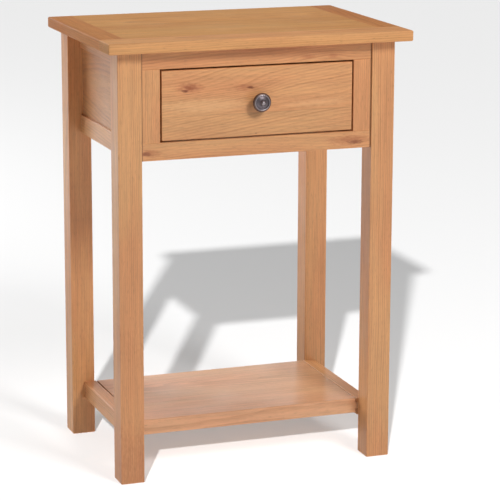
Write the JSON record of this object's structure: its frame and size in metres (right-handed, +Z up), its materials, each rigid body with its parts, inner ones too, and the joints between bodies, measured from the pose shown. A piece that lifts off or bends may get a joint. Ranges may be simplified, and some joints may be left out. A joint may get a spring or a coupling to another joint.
{
  "type": "side table with drawer",
  "caption": "Small solid wood side table with a drawer under the overhanging top, a round metal knob and a low shelf between square legs.",
  "frame": {"origin": "on the floor, under the middle of the tabletop", "axes": "+X to the table's right, +Y to its back, +Z up; the drawer opens towards -Y"},
  "size_m": [0.5, 0.35, 0.705],
  "materials": {
    "top_field": "satin lacquer",
    "top_strip": "satin lacquer",
    "leg": "satin lacquer",
    "frame": "satin lacquer",
    "panel": "satin lacquer",
    "shelf": "satin lacquer",
    "drawer_front": "satin lacquer",
    "inner_wood": "bare, sanded",
    "knob_metal": "dark antiqued pewter, worn on the raised edges",
    "screw_steel": "zinc plated"
  },
  "bodies": {
    "table": {"top_field_panel": "top_field", "top_front_strip": "top_field", "top_left_strip": "top_strip", "top_right_strip": "top_strip", "front_left_leg": "leg", "front_right_leg": "leg", "back_left_leg": "leg", "back_right_leg": "leg", "front_top_rail": "frame", "front_bottom_rail": "frame", "front_left_stile": "frame", "front_right_stile": "frame", "left_side_upper_rail": "frame", "left_side_lower_rail": "frame", "right_side_upper_rail": "frame", "right_side_lower_rail": "frame", "back_upper_rail": "frame", "back_lower_rail": "frame", "left_side_panel": "panel", "right_side_panel": "panel", "back_panel": "panel", "shelf_board": "shelf", "left_shelf_rail": "shelf", "right_shelf_rail": "shelf", "left_drawer_runner": "inner_wood", "right_drawer_runner": "inner_wood", "left_kicker": "inner_wood", "right_kicker": "inner_wood", "drawer_stops": "inner_wood", "drawer_catch": "inner_wood", "dowels": "inner_wood", "top_screws": "screw_steel", "runner_screws": "screw_steel", "catch_screws": "screw_steel"},
    "drawer": {"drawer_front": "drawer_front", "drawer_left_side": "inner_wood", "drawer_right_side": "inner_wood", "drawer_back": "inner_wood", "drawer_bottom": "inner_wood", "drawer_bottom_screws": "screw_steel", "knob_screw": "screw_steel", "knob": "knob_metal"}
  },
  "joints": [
    {"name": "drawer_slide", "type": "slide", "parent": "table", "child": "drawer", "axis": [0, -1, 0], "range_m": [0, 0.22]}
  ]
}
